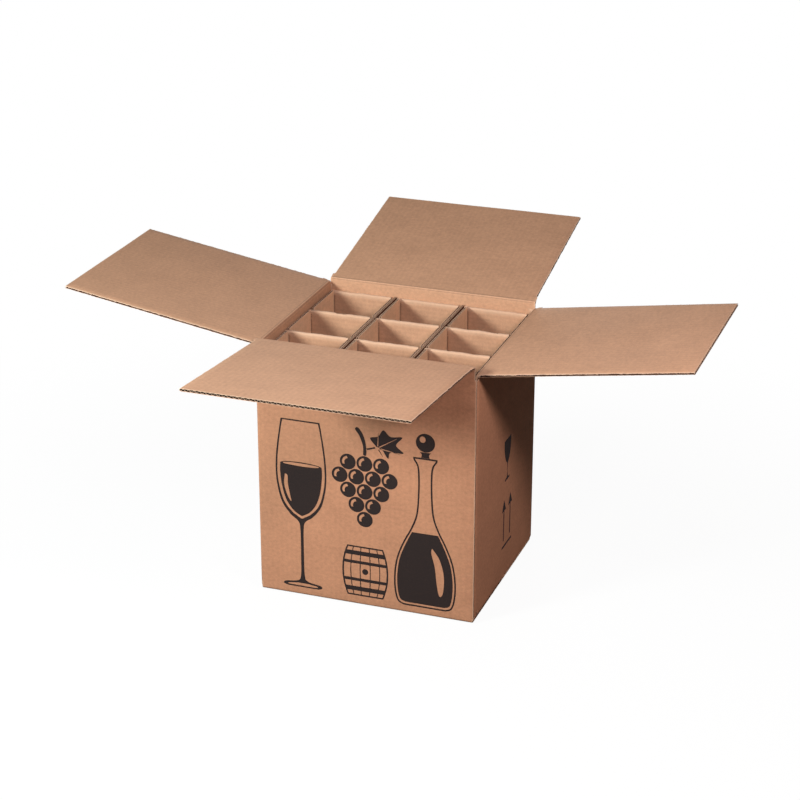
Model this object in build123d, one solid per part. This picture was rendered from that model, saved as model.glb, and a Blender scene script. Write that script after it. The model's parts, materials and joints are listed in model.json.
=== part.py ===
from build123d import *
import os

# A shipping box for nine bottles, open, with its four top flaps laid out.
# Millimetres. The origin is the middle of the underside, the front wall
# faces -Y and +Z is up.

# Corrugated board of the carton and its flaps
board = 4.0                 # thickness of the single-wall board
flute_pitch = 7.2           # from one flute to the next
liner = 0.45                # each of the two flat faces of the board
medium = 0.4                # the waved sheet between them
waist = 0.61                # width of a flute's hollow at its bend, as a share of its widest
bend_height = 0.55          # height of that bend, as a share of the hollow's
crushed = 12.0              # length beside a crease where the flutes are pressed flat

# Outer carton
box_width = 312.0           # outside, along X
box_depth = 275.0           # outside, along Y
lowest_crease = 357.5       # height of the right flap's crease above the ground
layer_gap = 0.2             # air between two layers of board that lie on each other
corner_radius = 5.0         # outside of the upright folds
bottom_radius = 4.5         # outside of the folds at the bottom
bottom_slot = 2.0           # bottom flaps stand this far inside the faces beside them
seam = 1.5                  # between the two outer bottom flaps
seam_shift = 2.0            # the seam lies this far behind the middle
inner_gap = 37.0            # between the two inner bottom flaps
lap_width = 35.0            # glued lap that closes the sheet, inside the front wall
lap_thickness = 2.8         # the lap is pressed thinner than the board
lap_drop = 12.0             # the lap starts this far below the lowest crease

# Top flaps
side_flap_length = 285.0    # left and right flaps, from the crease
end_flap_length = 243.0     # front and back flaps, from the crease
flap_clearance = 0.3        # a closed flap passes the walls beside it with this
crease_gap = 0.4            # between a wall's bevel and the flap's, when closed
slot_depth = 2.0            # slots between flaps reach this far below the lower crease
root_flare = 1.5            # front and back flaps widen by this at each end of the crease
flare_length = 11.0
root_round = 6.0            # left and right flaps are rounded off beside the crease

# Degrees that each flap is turned back from its closed place, as it lies in the open box
front_angle = 174.8
right_angle = 171.5
back_angle = 168.1
left_angle = 170.7

# Inserts: three folded and glued strips side by side, each with a row of cells
columns = 3
cells = 3
insert_board = 3.0          # thickness of the inserts' board
insert_height = 344.8       # from the bottom of the carton to the folded tops
front_clearance = 3.1       # insert to the front wall, room for the glued lap
back_clearance = 0.5        # insert to the back wall
side_clearance = 1.5        # insert to the left and right walls
column_gap = 1.8            # between two inserts
fold_slit = 0.6             # between the two layers of a folded divider
top_radius = 2.6            # outside of a divider's folded top
cell_radius = 3.4           # outside of the fold from a cell's floor to its sides
end_cell_inset = 2.4        # left side of an end cell, inside the dividers' left ends
middle_cell_inset = 1.0     # the same for the middle cell
panel_gap = 0.5             # cut between a glued inner side panel and a divider
free_end_gap = 1.5          # right end of a divider to the side beyond it
notch_width = 3.0           # sloped corner at the right end of a divider's top
notch_height = 5.0

# Worked out from the sizes above
layer = board + layer_gap
inside_width = box_width - 2 * board
inside_depth = box_depth - 2 * board
flap_inset = board + flap_clearance
carton_floor = board + layer
shoulder = lowest_crease - board - slot_depth
insert_depth = inside_depth - front_clearance - back_clearance
insert_width = (inside_width - 2 * side_clearance - (columns - 1) * column_gap) / columns
divider = 2 * insert_board + fold_slit
cell_depth = (insert_depth - (cells + 1) * divider) / cells

# Each wall: turn about Z from the front wall, distance to its outer face,
# length of its outer face, height of its crease, and its flap's length and
# angle. Closed flaps lie on each other in this order.
walls = {
    "right": (90, box_width / 2, box_depth, lowest_crease, side_flap_length, right_angle),
    "left": (270, box_width / 2, box_depth, lowest_crease + layer, side_flap_length, left_angle),
    "back": (180, box_depth / 2, box_width, lowest_crease + 2 * layer, end_flap_length, back_angle),
    "front": (0, box_depth / 2, box_width, lowest_crease + 3 * layer, end_flap_length, front_angle),
}
side_walls = ("left", "right")


def wire_in(plane, points):
    """A closed outline in the plane, from its corners in order."""
    return Wire.make_polygon([plane.from_local_coords((x, y, 0)) for x, y in points], close=True)


def prism(plane, points, depth):
    """The outline's face pushed out of its plane."""
    return Solid.extrude(Face(wire_in(plane, points)), plane.z_dir * depth)


def on_wall(name, shape, height=0.0, turn=0.0):
    """Carry a shape from its own frame to a wall's outer face.

    In its own frame X runs along the wall, +Y into the box and +Z up. The
    shape is first turned about X."""
    heading, distance = walls[name][:2]
    return Rot(0, 0, heading) * Pos(0, -distance, height) * Rot(turn, 0, 0) * shape


def wall_ring(low, high):
    """The four walls as one folded tube."""
    outer = RectangleRounded(box_width, box_depth, corner_radius)
    inner = RectangleRounded(inside_width, inside_depth, corner_radius - board)
    return Pos(0, 0, low) * extrude(outer - inner, high - low)


def flap_halves(name):
    """Half the length of a flap's crease, and half the width of the flap."""
    half = walls[name][2] / 2 - flap_inset
    return (half if name in side_walls else half + root_flare), half


def wall_head(name):
    """The top of one wall between two slots, bevelled at its crease."""
    crease = walls[name][3]
    reach = flap_halves(name)[0]
    section = [(0, shoulder), (0, crease), (board, crease - board), (board, shoulder)]
    head = prism(Plane.YZ.offset(-reach), section, 2 * reach)
    return on_wall(name, head) & wall_ring(shoulder, crease)


def corner_post(side, end):
    """The upright fold between two walls, up to the foot of the slot above it."""
    foot = min(walls[side][3], walls[end][3]) - slot_depth
    x = box_width / 2 if side == "right" else -box_width / 2
    y = box_depth / 2 if end == "back" else -box_depth / 2
    block = Pos(x, y, shoulder) * extrude(Rectangle(2 * flap_inset, 2 * flap_inset), foot - shoulder)
    return block & wall_ring(shoulder, foot)


def bottom_flap(name, level, length):
    """A wall's foot and the flap that folds in from it, at a level above the ground."""
    span = walls[name][2] - 2 * bottom_slot
    foot = level + bottom_radius
    top = carton_floor + bottom_radius
    upright = Pos(board / 2, (foot + top) / 2) * Rectangle(board, top - foot)
    flat = Pos((bottom_radius + length) / 2, level + board / 2) * Rectangle(length - bottom_radius, board)
    bend = Pos(bottom_radius, foot) * (Circle(bottom_radius) - Circle(bottom_radius - board))
    corner = Pos(bottom_radius / 2, foot - bottom_radius / 2) * Rectangle(bottom_radius, bottom_radius)
    section = flat + (bend & corner)
    if top > foot:
        section += upright
    return on_wall(name, extrude(Plane.YZ.offset(-span / 2) * section, span))


def glue_lap():
    """The end of the sheet, folded in from the right wall and glued to the front wall."""
    low = carton_floor + layer_gap
    high = lowest_crease - lap_drop
    lap = Box(lap_width, lap_thickness, high - low, align=(Align.MAX, Align.MIN, Align.MIN))
    return Pos(inside_width / 2, -inside_depth / 2, low) * lap


def make_carton():
    """The folded sheet of the outer box, without its four top flaps."""
    parts = [wall_head(name) for name in walls]
    parts += [corner_post(side, end) for side in side_walls for end in ("front", "back")]
    parts.append(bottom_flap("front", 0, (box_depth - seam) / 2 + seam_shift))
    parts.append(bottom_flap("back", 0, (box_depth - seam) / 2 - seam_shift))
    parts += [bottom_flap(name, layer, (box_width - inner_gap) / 2) for name in side_walls]
    parts.append(glue_lap())
    body = wall_ring(carton_floor + bottom_radius, shoulder)
    for part in parts:
        body += part
    return body


def flute_holes(half):
    """Corners of the hollows between the liners and the waved sheet, across a flap.

    X runs along the flap's free edge and Y through its thickness, from 0 at
    the outer face to -board. By turns they open towards one face and the other."""
    low, high = liner - board, -liner
    wide = flute_pitch / 2 - 2 * medium
    narrow = waist * wide
    count = int((2 * half - flute_pitch) / (flute_pitch / 2))
    holes = []
    for index in range(count):
        x = (index - (count - 1) / 2) * flute_pitch / 2
        base, tip = (low, high - medium) if index % 2 else (high, low + medium)
        bend = base + bend_height * (tip - base)
        holes.append([(x - wide, base), (x + wide, base), (x + narrow, bend), (x, tip), (x - narrow, bend)])
    return holes


def flap_root(name):
    """The pressed strip of a flap beside its crease, bevelled to meet the wall's bevel."""
    reach, half = flap_halves(name)
    if name in side_walls:
        plan = Pos(0, crushed / 2) * Rectangle(2 * half, crushed)
        plan = fillet(plan.vertices().group_by(Axis.Y)[0], root_round)
    else:
        plan = make_face(Polyline(
            (-reach, 0), (reach, 0), (half, flare_length), (half, crushed),
            (-half, crushed), (-half, flare_length), close=True))
    bevel = [(crease_gap, 0), (crease_gap + board, -board), (crushed, -board), (crushed, 0)]
    return extrude(plan, -board) & prism(Plane.YZ.offset(-reach), bevel, 2 * reach)


def make_flap(name):
    """A top flap of open-ended corrugated board, in its rest pose."""
    crease, length, angle = walls[name][3:]
    half = flap_halves(name)[1]
    edge = Plane.XZ.offset(-crushed)
    rim = wire_in(edge, [(-half, 0), (half, 0), (half, -board), (-half, -board)])
    holes = [wire_in(edge, corners) for corners in flute_holes(half)]
    leaf = Solid.extrude(Face(rim, holes), Vector(0, length - crushed, 0))
    return on_wall(name, flap_root(name) + leaf, crease, angle)


def divider_place(index):
    """Distance of a divider's middle from the insert's front, 0 being the front panel."""
    return divider / 2 + index * (cell_depth + divider)


def divider_wall(index):
    """Two layers of board folded over at the top, with an open slit between them."""
    section = Rectangle(divider, insert_height, align=(Align.CENTER, Align.MIN))
    section = fillet(section.vertices().group_by(Axis.Y)[-1], top_radius)
    section -= Rectangle(fold_slit, insert_height - insert_board, align=(Align.CENTER, Align.MIN))
    length = insert_width - insert_board - free_end_gap
    wall = Pos(0, divider_place(index), 0) * extrude(Plane.YZ * section, length)
    slope = [(length - notch_width, insert_height), (length, insert_height), (length, insert_height - notch_height)]
    return wall - prism(Plane.XZ, slope, -insert_depth)


def cell_shell(index):
    """A cell's floor with its left and right sides folded up from it."""
    inset = middle_cell_inset if 0 < index < cells - 1 else end_cell_inset
    width = insert_width - inset
    outer = RectangleRounded(width, 2 * insert_height, cell_radius)
    inner = RectangleRounded(width - 2 * insert_board, 2 * (insert_height - insert_board), cell_radius - insert_board)
    lower = Pos(0, -insert_height / 2) * Rectangle(width, insert_height)
    section = Pos(inset + width / 2, insert_height) * ((outer - inner) & lower)
    front = divider_place(index) + fold_slit / 2
    back = divider_place(index + 1) - fold_slit / 2
    shell = Pos(0, back, 0) * extrude(Plane.XZ * section, back - front)
    glued = Box(insert_board, cell_depth - 2 * panel_gap, insert_height - insert_board,
                align=(Align.MAX, Align.CENTER, Align.MIN))
    middle = (front + back) / 2
    return shell + Pos(insert_width - insert_board, middle, insert_board) * glued


def make_insert(index):
    """One folded and glued strip: a row of cells from the front wall to the back wall."""
    spine = Pos(insert_width - insert_board, 0, cell_radius) * Box(
        insert_board, insert_depth, insert_height - cell_radius, align=(Align.MIN, Align.MIN, Align.MIN))
    insert = spine
    for number in range(cells):
        insert += cell_shell(number)
    for number in range(cells + 1):
        insert += divider_wall(number)
    x = side_clearance - inside_width / 2 + index * (insert_width + column_gap)
    y = front_clearance - inside_depth / 2
    return Pos(x, y, carton_floor) * insert


def main():
    os.makedirs("parts", exist_ok=True)
    pieces = {"carton": make_carton()}
    for name in walls:
        pieces[name + "_flap"] = make_flap(name)
    for index in range(columns):
        pieces[f"bottle_insert_{index + 1}"] = make_insert(index)
    for name, shape in pieces.items():
        export_step(shape, f"parts/{name}.step")


main()
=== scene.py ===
import json
import math
import bmesh
import bpy
from mathutils import Matrix, Vector, noise
from mathutils.geometry import delaunay_2d_cdt


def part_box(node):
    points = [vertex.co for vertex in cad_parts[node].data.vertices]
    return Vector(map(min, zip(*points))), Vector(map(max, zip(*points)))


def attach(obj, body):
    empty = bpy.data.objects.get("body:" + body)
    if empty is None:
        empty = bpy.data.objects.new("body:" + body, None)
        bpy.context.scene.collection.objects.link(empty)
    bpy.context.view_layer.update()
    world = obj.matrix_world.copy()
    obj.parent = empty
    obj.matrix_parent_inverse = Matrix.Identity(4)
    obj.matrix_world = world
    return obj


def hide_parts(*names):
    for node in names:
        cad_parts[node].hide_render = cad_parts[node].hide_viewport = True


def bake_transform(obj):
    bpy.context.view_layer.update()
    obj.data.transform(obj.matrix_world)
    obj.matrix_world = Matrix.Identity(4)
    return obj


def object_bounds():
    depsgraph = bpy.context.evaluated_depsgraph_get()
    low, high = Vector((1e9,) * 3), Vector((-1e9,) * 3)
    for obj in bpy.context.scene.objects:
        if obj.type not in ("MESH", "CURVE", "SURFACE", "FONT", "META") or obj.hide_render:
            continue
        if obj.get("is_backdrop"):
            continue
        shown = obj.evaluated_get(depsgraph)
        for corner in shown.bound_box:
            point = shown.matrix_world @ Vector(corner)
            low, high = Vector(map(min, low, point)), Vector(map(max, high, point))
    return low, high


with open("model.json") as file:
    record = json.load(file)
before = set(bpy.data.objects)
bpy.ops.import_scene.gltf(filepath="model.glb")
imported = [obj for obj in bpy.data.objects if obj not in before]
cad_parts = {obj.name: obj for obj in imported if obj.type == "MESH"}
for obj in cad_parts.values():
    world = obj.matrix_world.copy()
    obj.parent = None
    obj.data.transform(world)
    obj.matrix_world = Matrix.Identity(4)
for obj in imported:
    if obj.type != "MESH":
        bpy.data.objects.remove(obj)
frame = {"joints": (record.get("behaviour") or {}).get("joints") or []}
cad_low, cad_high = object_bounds()

# Carton walls
# The carton is one sheet of single-wall board: a waved paper glued between two
# flat brown papers. It is folded round into four walls, and a lap at its end is
# glued inside the front wall. Board sizes here are in millimetres.
MM = 0.001
BOARD = 4.0
FLAT_PAPER = 0.45
WAVED_PAPER = 0.35
FLUTE = 7.2
GLUED_IN = 0.05
LAYER_GAP = 0.2
WALL_FOLD = 5.0
WALL_SWELL = 0.5
BOTTOM_FOLD = 4.5
BOTTOM_SLOT = 2.0
SEAM = 1.5
SEAM_BEHIND = 2.0
INNER_GAP = 37.0
FLAP_INSET = 4.3
ROOT_FLARE = 1.5
SLOT_DEPTH = 2.0
CARTON_FLOOR = 2 * BOARD + LAYER_GAP
WALL_FOOT = CARTON_FLOOR + BOTTOM_FOLD
LAP_WIDTH = 35.0
LAP_DROP = 12.0
LAP_PRESS = 2.8 / BOARD
LAP_EASE = 6.0
JOINT_SET_BACK = 0.8
END_PRESS = 0.45
END_EASE = 1.8
OUTER, INNER, WAVED = 0, 1, 2

# How deep the tears are in an edge cut by a blade, at a slot, at a wall's head, at
# a free edge and at a fold
BLADE_CUT, SLOT_CUT, HEAD_CUT, FREE_CUT, FOLD_CUT = 0.1, 0.3, 0.2, 0.08, 0.05
TOOTH_PITCH = 3.1
TORN_SWELL = 0.12
FRAYED = 1.8
FRAYED_END = 1.8
CUT_STEP = 1.1
WHOLE_STEP = 12.0
CUT_BAND = 1.6
CORNER_EASE = 1.5

carton_low, carton_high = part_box("carton")
WIDTH = (carton_high.x - carton_low.x) / MM
DEPTH = (carton_high.y - carton_low.y) / MM
hinges = {joint["child"].replace("_flap", ""): joint for joint in frame["joints"]}
crease_height = {side: joint["pos_m"][2] / MM for side, joint in hinges.items()}
half_side = {"front": WIDTH / 2, "left": DEPTH / 2, "back": WIDTH / 2, "right": DEPTH / 2}
LAP_TOP = min(crease_height.values()) - LAP_DROP


class Papers:
    """The paper layers that one piece is made of, gathered before it becomes a mesh."""

    def __init__(self):
        # edges holds how pale each point is at cut edges and along the dividers' tops, the creases' painted
        # highlight, and below nought painted shade.
        self.points, self.faces, self.kinds, self.spots, self.edges = [], [], [], [], []

    def add(self, points, faces, kinds, spots, edges):
        first = len(self.points)
        self.points += [Vector(point) * MM for point in points]
        self.faces += [[first + i for i in face] for face in faces]
        self.kinds += kinds
        self.spots += [Vector(spot) * MM for spot in spots]
        self.edges += edges


def torn(along, seed, teeth):
    """How far a cut edge lies inside its line: a knife's teeth, and fibres that tore."""
    ragged = noise.noise(Vector((along * 0.45, seed, 0.5)))
    fray = noise.noise(Vector((along * 1.9, seed, 3.1)))
    tooth = abs((along / TOOTH_PITCH + 0.3 * ragged) % 1.0 - 0.5) * 2
    return 0.12 + 0.1 * fray + teeth * (0.55 * tooth + 0.45 + 0.8 * ragged)


def cut_outline(corners, teeth, seed, step=CUT_STEP):
    """The corners' outline with ragged edges, and points a little way inside them.

    teeth has the depth of each edge's tears, or None where the paper goes on."""
    rim, inside, total = [], [], 0.0
    for k, depth in enumerate(teeth):
        start, end = Vector(corners[k]), Vector(corners[(k + 1) % len(corners)])
        run = (end - start).length
        ahead = (end - start) / run
        inward = Vector((-ahead.y, ahead.x))
        worn = 0.0 if depth is None else min(1.0, 0.35 + 3 * depth)
        count = max(1, round(run / (WHOLE_STEP if depth is None else step)))
        stops = [run * i / count for i in range(count)]
        if depth is None and run > 8:
            stops = [0.0, 2.0] + [stop for stop in stops if 4 < stop < run - 4] + [run - 2.0]
        for i, s in enumerate(stops):
            ease = min(1.0, s / CORNER_EASE, (run - s) / CORNER_EASE)
            tear = 0.0 if depth is None else torn(total + s, seed, depth) * ease
            point = start + ahead * s + inward * tear
            rim.append((point.x, point.y, worn))
            if min(s, run - s) > 1.9 and (i % 2 or depth is None):
                point = start + ahead * s + inward * (CUT_BAND + (depth or 0.0))
                inside.append((point.x, point.y))
        total += run
    return rim, inside


def flat_paper(papers, rim, inside, low, high, place, kind, shift, loops=None,
               pale=1.0, spot_paleness_and_shade=None, shown=None, hidden=None):
    """One flat paper, from its outline and the points inside it. place folds it into shape.

    loops lists the rim's points in closed lines where there are several, each inside the last.
    pale is how pale its cut edges are, and the spot function after it how much paler it is
    at a spot away from them or, below nought, how much painted shade darkens it there.
    shown and hidden are the paints of its face outside and its face towards the waved paper,
    where they aren't the kind's own."""
    flat = [Vector(p[:2]) for p in rim] + [Vector(p) for p in inside]
    loops = loops or [list(range(len(rim)))]
    verts, _, tris, origin, _, owners = delaunay_2d_cdt(flat, [], loops, 1, 1e-6)
    tris = [tri for tri, owner in zip(tris, owners) if len(owner) % 2]
    worn = [max([rim[i][2] for i in source if i < len(rim)], default=0.0) for source in origin]
    fray_low = TORN_SWELL if kind == OUTER else 0.0
    fray_high = TORN_SWELL if kind == INNER else 0.0
    sides = [(tri[i], tri[(i + 1) % len(tri)]) for tri in tris for i in range(len(tri))]
    known = set(sides)
    border = [(a, b) for a, b in sides if (b, a) not in known]
    used = sorted({i for tri in tris for i in tri})
    new = {old: i for i, old in enumerate(used)}
    n = len(used)
    points = [place(verts[i].x, verts[i].y, high + fray_high * worn[i]) for i in used]
    points += [place(verts[i].x, verts[i].y, low - fray_low * worn[i]) for i in used]
    faces = [[new[i] for i in tri] for tri in tris]
    faces += [[n + new[i] for i in reversed(tri)] for tri in tris]
    faces += [[new[b], new[a], n + new[a], n + new[b]] for a, b in border]
    shown = kind if shown is None else shown
    # The inner paper's face towards the waved paper takes the waved paper's dark paint: painted shade inside
    # the flutes.
    hidden = {OUTER: INNER, INNER: WAVED}[kind] if hidden is None else hidden
    upper, lower = (shown, hidden) if kind == OUTER else (hidden, shown)
    kinds = [upper] * len(tris) + [lower] * len(tris) + [kind] * len(border)
    spots = [(verts[i].x, verts[i].y, shift) for i in used] * 2
    edges = [pale * worn[i] or (spot_paleness_and_shade(*verts[i]) if spot_paleness_and_shade else 0.0) for i in used] * 2
    papers.add(points, faces, kinds, spots, edges)


def waved_paper(papers, board, start, stop, ends, place, shift, stops=(), per_flute=8):
    """The waved paper from start to stop across the flutes. ends gives each line's two ends.

    board has its thickness, its flat and waved papers' thickness and its flutes' pitch.
    stops lists the heights between the ends at which the paper may bend."""
    thick, flat, waved, pitch = board
    wave_height = thick / 2 - flat - waved / 2 + GLUED_IN
    count = max(2, round((stop - start) / pitch * per_flute))
    points, spots, edges, rows = [], [], [], len(stops) + 4
    for side in (-0.5, 0.5):
        for i in range(count + 1):
            u = start + (stop - start) * i / count
            wave = math.sin(2 * math.pi * u / pitch)
            low, high = ends(u)
            high -= 0.15 + 0.35 * abs(noise.noise(Vector((u * 0.6, shift, 9.0))))
            between = [min(max(level, low + 2), high - 2) for level in stops]
            for j, v in enumerate([low, low + FRAYED_END, *between, high - FRAYED_END, high]):
                body = waved * (FRAYED if j == rows - 1 else 1.0)
                points.append(place(u, v, wave_height * wave - thick / 2 + side * body))
                spots.append((u, v, shift))
                edges.append(1.0 if j in (0, rows - 1) else 0.0)
    n = (count + 1) * rows
    faces = []
    for i in range(count):
        for j in range(rows - 1):
            a = i * rows + j
            faces.append([a, a + rows, a + rows + 1, a + 1])
            faces.append([n + a, n + a + 1, n + a + rows + 1, n + a + rows])
        for j in (0, rows - 1):
            a = i * rows + j
            faces.append([a, a + rows, n + a + rows, n + a])
    for i in (0, count):
        for j in range(rows - 1):
            a = i * rows + j
            faces.append([a, a + 1, n + a + 1, n + a])
    papers.add(points, faces, [WAVED] * len(faces), spots, edges)


def folded(start, heading, runs):
    """A path of straight runs (length,) and left-hand bends (outer radius, degrees).

    The function that it returns gives the point and the outward normal at a length."""
    point, ahead = Vector(start), Vector(heading)
    stretches, total = [], 0.0
    for run in runs:
        length = run[0] if len(run) == 1 else run[0] * math.radians(run[1])
        stretches.append((total, length, run, point.copy(), ahead.copy()))
        left = Vector((-ahead.y, ahead.x))
        if len(run) == 1:
            point = point + ahead * length
        else:
            turn = Matrix.Rotation(math.radians(run[1]), 2)
            point = point + left * run[0] - turn @ (left * run[0])
            ahead = turn @ ahead
        total += length

    def at(s):
        for begin, length, run, origin, heading in stretches:
            if s <= begin + length:
                break
        left = Vector((-heading.y, heading.x))
        if len(run) == 1:
            return origin + heading * (s - begin), -left
        turn = Matrix.Rotation((s - begin) / run[0], 2)
        return origin + left * run[0] - turn @ (left * run[0]), turn @ -left

    at.length = total
    return at


def make_piece(name, papers, paints):
    """Turns the gathered papers into one mesh object."""
    mesh = bpy.data.meshes.new(name)
    mesh.from_pydata(papers.points, [], papers.faces)
    for paint in paints:
        mesh.materials.append(paint)
    mesh.polygons.foreach_set("material_index", papers.kinds)
    spot = mesh.attributes.new("board_spot", "FLOAT_VECTOR", "POINT")
    spot.data.foreach_set("vector", [value for row in papers.spots for value in row])
    edge = mesh.attributes.new("cut_edge", "FLOAT", "POINT")
    edge.data.foreach_set("value", papers.edges)
    work = bmesh.new()
    work.from_mesh(mesh)
    bmesh.ops.recalc_face_normals(work, faces=work.faces)
    work.to_mesh(mesh)
    work.free()
    mesh.shade_smooth()
    mesh.set_sharp_from_angle(angle=math.radians(38))
    piece = bpy.data.objects.new(name, mesh)
    bpy.context.scene.collection.objects.link(piece)
    return piece


def add_node(tree, kind, inputs=(), **settings):
    """Adds a shader node and sets or links its inputs."""
    node = tree.nodes.new(kind)
    for name, value in settings.items():
        setattr(node, name, value)
    for socket, value in inputs:
        if isinstance(value, bpy.types.NodeSocket):
            tree.links.new(value, node.inputs[socket])
        else:
            node.inputs[socket].default_value = value
    return node


def reckon(tree, operation, *values):
    """A Math node's result."""
    return add_node(tree, "ShaderNodeMath", enumerate(values), operation=operation).outputs[0]


PALE_FIBRES_AND_HIGHLIGHT = (0.74, 0.53, 0.375, 1.0)
PAPER_ROUGHNESS = 0.82
PAPER_RELIEF = 0.3


def brown_paper_group():
    """Brown recycled paper: clouds, fibres, specks, the flutes under it, its pale cut edges, and painted
    highlight and painted shade.
    """
    group = bpy.data.node_groups.new("brown_paper", "ShaderNodeTree")
    for name, kind in (("Tone", "Color"), ("Clouds", "Float"), ("Fibres", "Float"),
                       ("Flutes", "Float"), ("Pitch", "Float"), ("Pale edge", "Float")):
        group.interface.new_socket(name, in_out="INPUT", socket_type="NodeSocket" + kind)
    for name, kind in (("Color", "Color"), ("Roughness", "Float"), ("Height", "Float")):
        group.interface.new_socket(name, in_out="OUTPUT", socket_type="NodeSocket" + kind)
    given = add_node(group, "NodeGroupInput").outputs
    spot = add_node(group, "ShaderNodeAttribute", attribute_name="board_spot").outputs["Vector"]
    edge = add_node(group, "ShaderNodeAttribute", attribute_name="cut_edge").outputs["Fac"]

    def cloudy(stretch, detail, rough):
        scaled = add_node(group, "ShaderNodeVectorMath", [(0, spot), (1, stretch)],
                          operation="MULTIPLY").outputs[0]
        noisy = add_node(group, "ShaderNodeTexNoise",
                         [("Vector", scaled), ("Scale", 1.0), ("Detail", detail), ("Roughness", rough)])
        return reckon(group, "SUBTRACT", noisy.outputs["Fac"], 0.5)

    def times(one, other):
        return reckon(group, "MULTIPLY", one, other)

    def plus(one, other):
        return reckon(group, "ADD", one, other)

    def shaded(tone, light):
        return add_node(group, "ShaderNodeVectorMath", [(0, tone), ("Scale", light)],
                        operation="SCALE").outputs[0]

    clouds = cloudy((18, 24, 900), 3, 0.55)
    blots = cloudy((170, 230, 900), 2, 0.5)
    fibres = cloudy((420, 1500, 900), 4, 0.6)
    crossing = cloudy((1300, 380, 900), 4, 0.6)
    dots = cloudy((1900, 1900, 900), 1, 0.5)
    specks = add_node(group, "ShaderNodeMapRange",
                      [("Value", dots), ("From Min", 0.16), ("From Max", 0.24)]).outputs[0]
    across = add_node(group, "ShaderNodeSeparateXYZ", [(0, spot)]).outputs["X"]
    line = reckon(group, "COSINE", reckon(group, "DIVIDE", times(across, 2 * math.pi), given["Pitch"]))
    fine = plus(fibres, times(crossing, 0.8))
    soft = plus(fine, times(blots, 0.9))
    shade = plus(1.0, times(soft, given["Fibres"]))
    shade = plus(shade, times(clouds, given["Clouds"]))
    shade = reckon(group, "SUBTRACT", shade, times(specks, 0.07))
    # Stripes at the flutes' pitch: partly their glue lines, partly painted shade of the washboard they press
    # into the paper.
    shade = plus(shade, times(line, times(given["Flutes"], 0.5)))
    # Below nought the point attribute darkens the paper: painted shade in the creases' grooves and in the
    # dividers' corners.
    painted_shade_factor = plus(1.0, reckon(group, "MINIMUM", edge, 0.0))
    toned = shaded(shaded(given["Tone"], shade), painted_shade_factor)
    # Above nought it turns the paper towards pale fibres: the real pale cut edges, the dividers' paler tops,
    # and the painted highlight on the creases' ridges.
    paleness_and_highlight = times(reckon(group, "MAXIMUM", edge, 0.0), given["Pale edge"])
    pale = add_node(group, "ShaderNodeMix", [(0, paleness_and_highlight), (6, toned), (7, PALE_FIBRES_AND_HIGHLIGHT)],
                    data_type="RGBA").outputs[2]
    height = plus(times(fine, 0.35), times(line, given["Flutes"]))
    rough = plus(PAPER_ROUGHNESS, times(fine, 0.25))
    add_node(group, "NodeGroupOutput", [("Color", pale), ("Roughness", rough), ("Height", height)])
    return group


brown_paper = brown_paper_group()


def paper_paint(name, tone, clouds, fibres, flutes, pale_edge, pitch=FLUTE * MM, sheen=0.25):
    """A material of brown paper in one tone."""
    paint = bpy.data.materials.new(name)
    paint.use_nodes = True
    tree = paint.node_tree
    shader = tree.nodes["Principled BSDF"]
    paper = add_node(tree, "ShaderNodeGroup", node_tree=brown_paper)
    for socket, value in (("Tone", (*tone, 1.0)), ("Clouds", clouds), ("Fibres", fibres),
                          ("Flutes", flutes), ("Pitch", pitch), ("Pale edge", pale_edge)):
        paper.inputs[socket].default_value = value
    bump = add_node(tree, "ShaderNodeBump", [("Height", paper.outputs["Height"]),
                                             ("Strength", PAPER_RELIEF), ("Distance", 0.0006)])
    tree.links.new(paper.outputs["Color"], shader.inputs["Base Color"])
    tree.links.new(paper.outputs["Roughness"], shader.inputs["Roughness"])
    tree.links.new(bump.outputs["Normal"], shader.inputs["Normal"])
    shader.inputs["Specular IOR Level"].default_value = sheen
    return paint


OUTER_TONE = (0.532, 0.256, 0.147)
INNER_TONE = (0.525, 0.295, 0.176)
# The waved paper's paint is far darker than the paper itself: painted shade inside the flutes, on the waved
# paper and on the flat papers' faces towards it where they take this paint.
FLUTE_SHADE_TONE = (0.075, 0.034, 0.023)
outer_brown = paper_paint("outer_brown", OUTER_TONE, clouds=0.28, fibres=0.42, flutes=0.03, pale_edge=0.75)
inner_brown = paper_paint("inner_brown", INNER_TONE, clouds=0.24, fibres=0.38, flutes=0.04, pale_edge=0.75)
waved_brown = paper_paint("waved_brown", FLUTE_SHADE_TONE, clouds=0.20, fibres=0.45, flutes=0.0, pale_edge=0.6,
                          sheen=0.04)
carton_paints = [outer_brown, inner_brown, waved_brown]
carton_board = (BOARD, FLAT_PAPER, WAVED_PAPER, FLUTE)

# The sheet runs from the front wall's right edge round the left, back and right
# walls to the lap. Its path is drawn mirrored, so that its folds turn left.
FOLD_RUN = WALL_FOLD * math.pi / 2
front_run = WIDTH - WALL_FOLD - JOINT_SET_BACK
wall_path = folded(
    (JOINT_SET_BACK - WIDTH / 2, -DEPTH / 2), (1, 0),
    [(front_run,), (WALL_FOLD, 90), (DEPTH - 2 * WALL_FOLD,), (WALL_FOLD, 90),
     (WIDTH - 2 * WALL_FOLD,), (WALL_FOLD, 90), (DEPTH - 2 * WALL_FOLD - BOARD,),
     (WALL_FOLD, 90), (LAP_WIDTH - WALL_FOLD,)])
lap_start = wall_path.length - LAP_WIDTH + WALL_FOLD
wall_middle = {"front": WIDTH / 2 - JOINT_SET_BACK}
wall_middle["left"] = front_run + FOLD_RUN + DEPTH / 2 - WALL_FOLD
wall_middle["back"] = wall_middle["left"] + DEPTH / 2 + WIDTH / 2 - 2 * WALL_FOLD + FOLD_RUN
wall_middle["right"] = wall_middle["back"] + DEPTH / 2 + WIDTH / 2 - 2 * WALL_FOLD + FOLD_RUN

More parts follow.
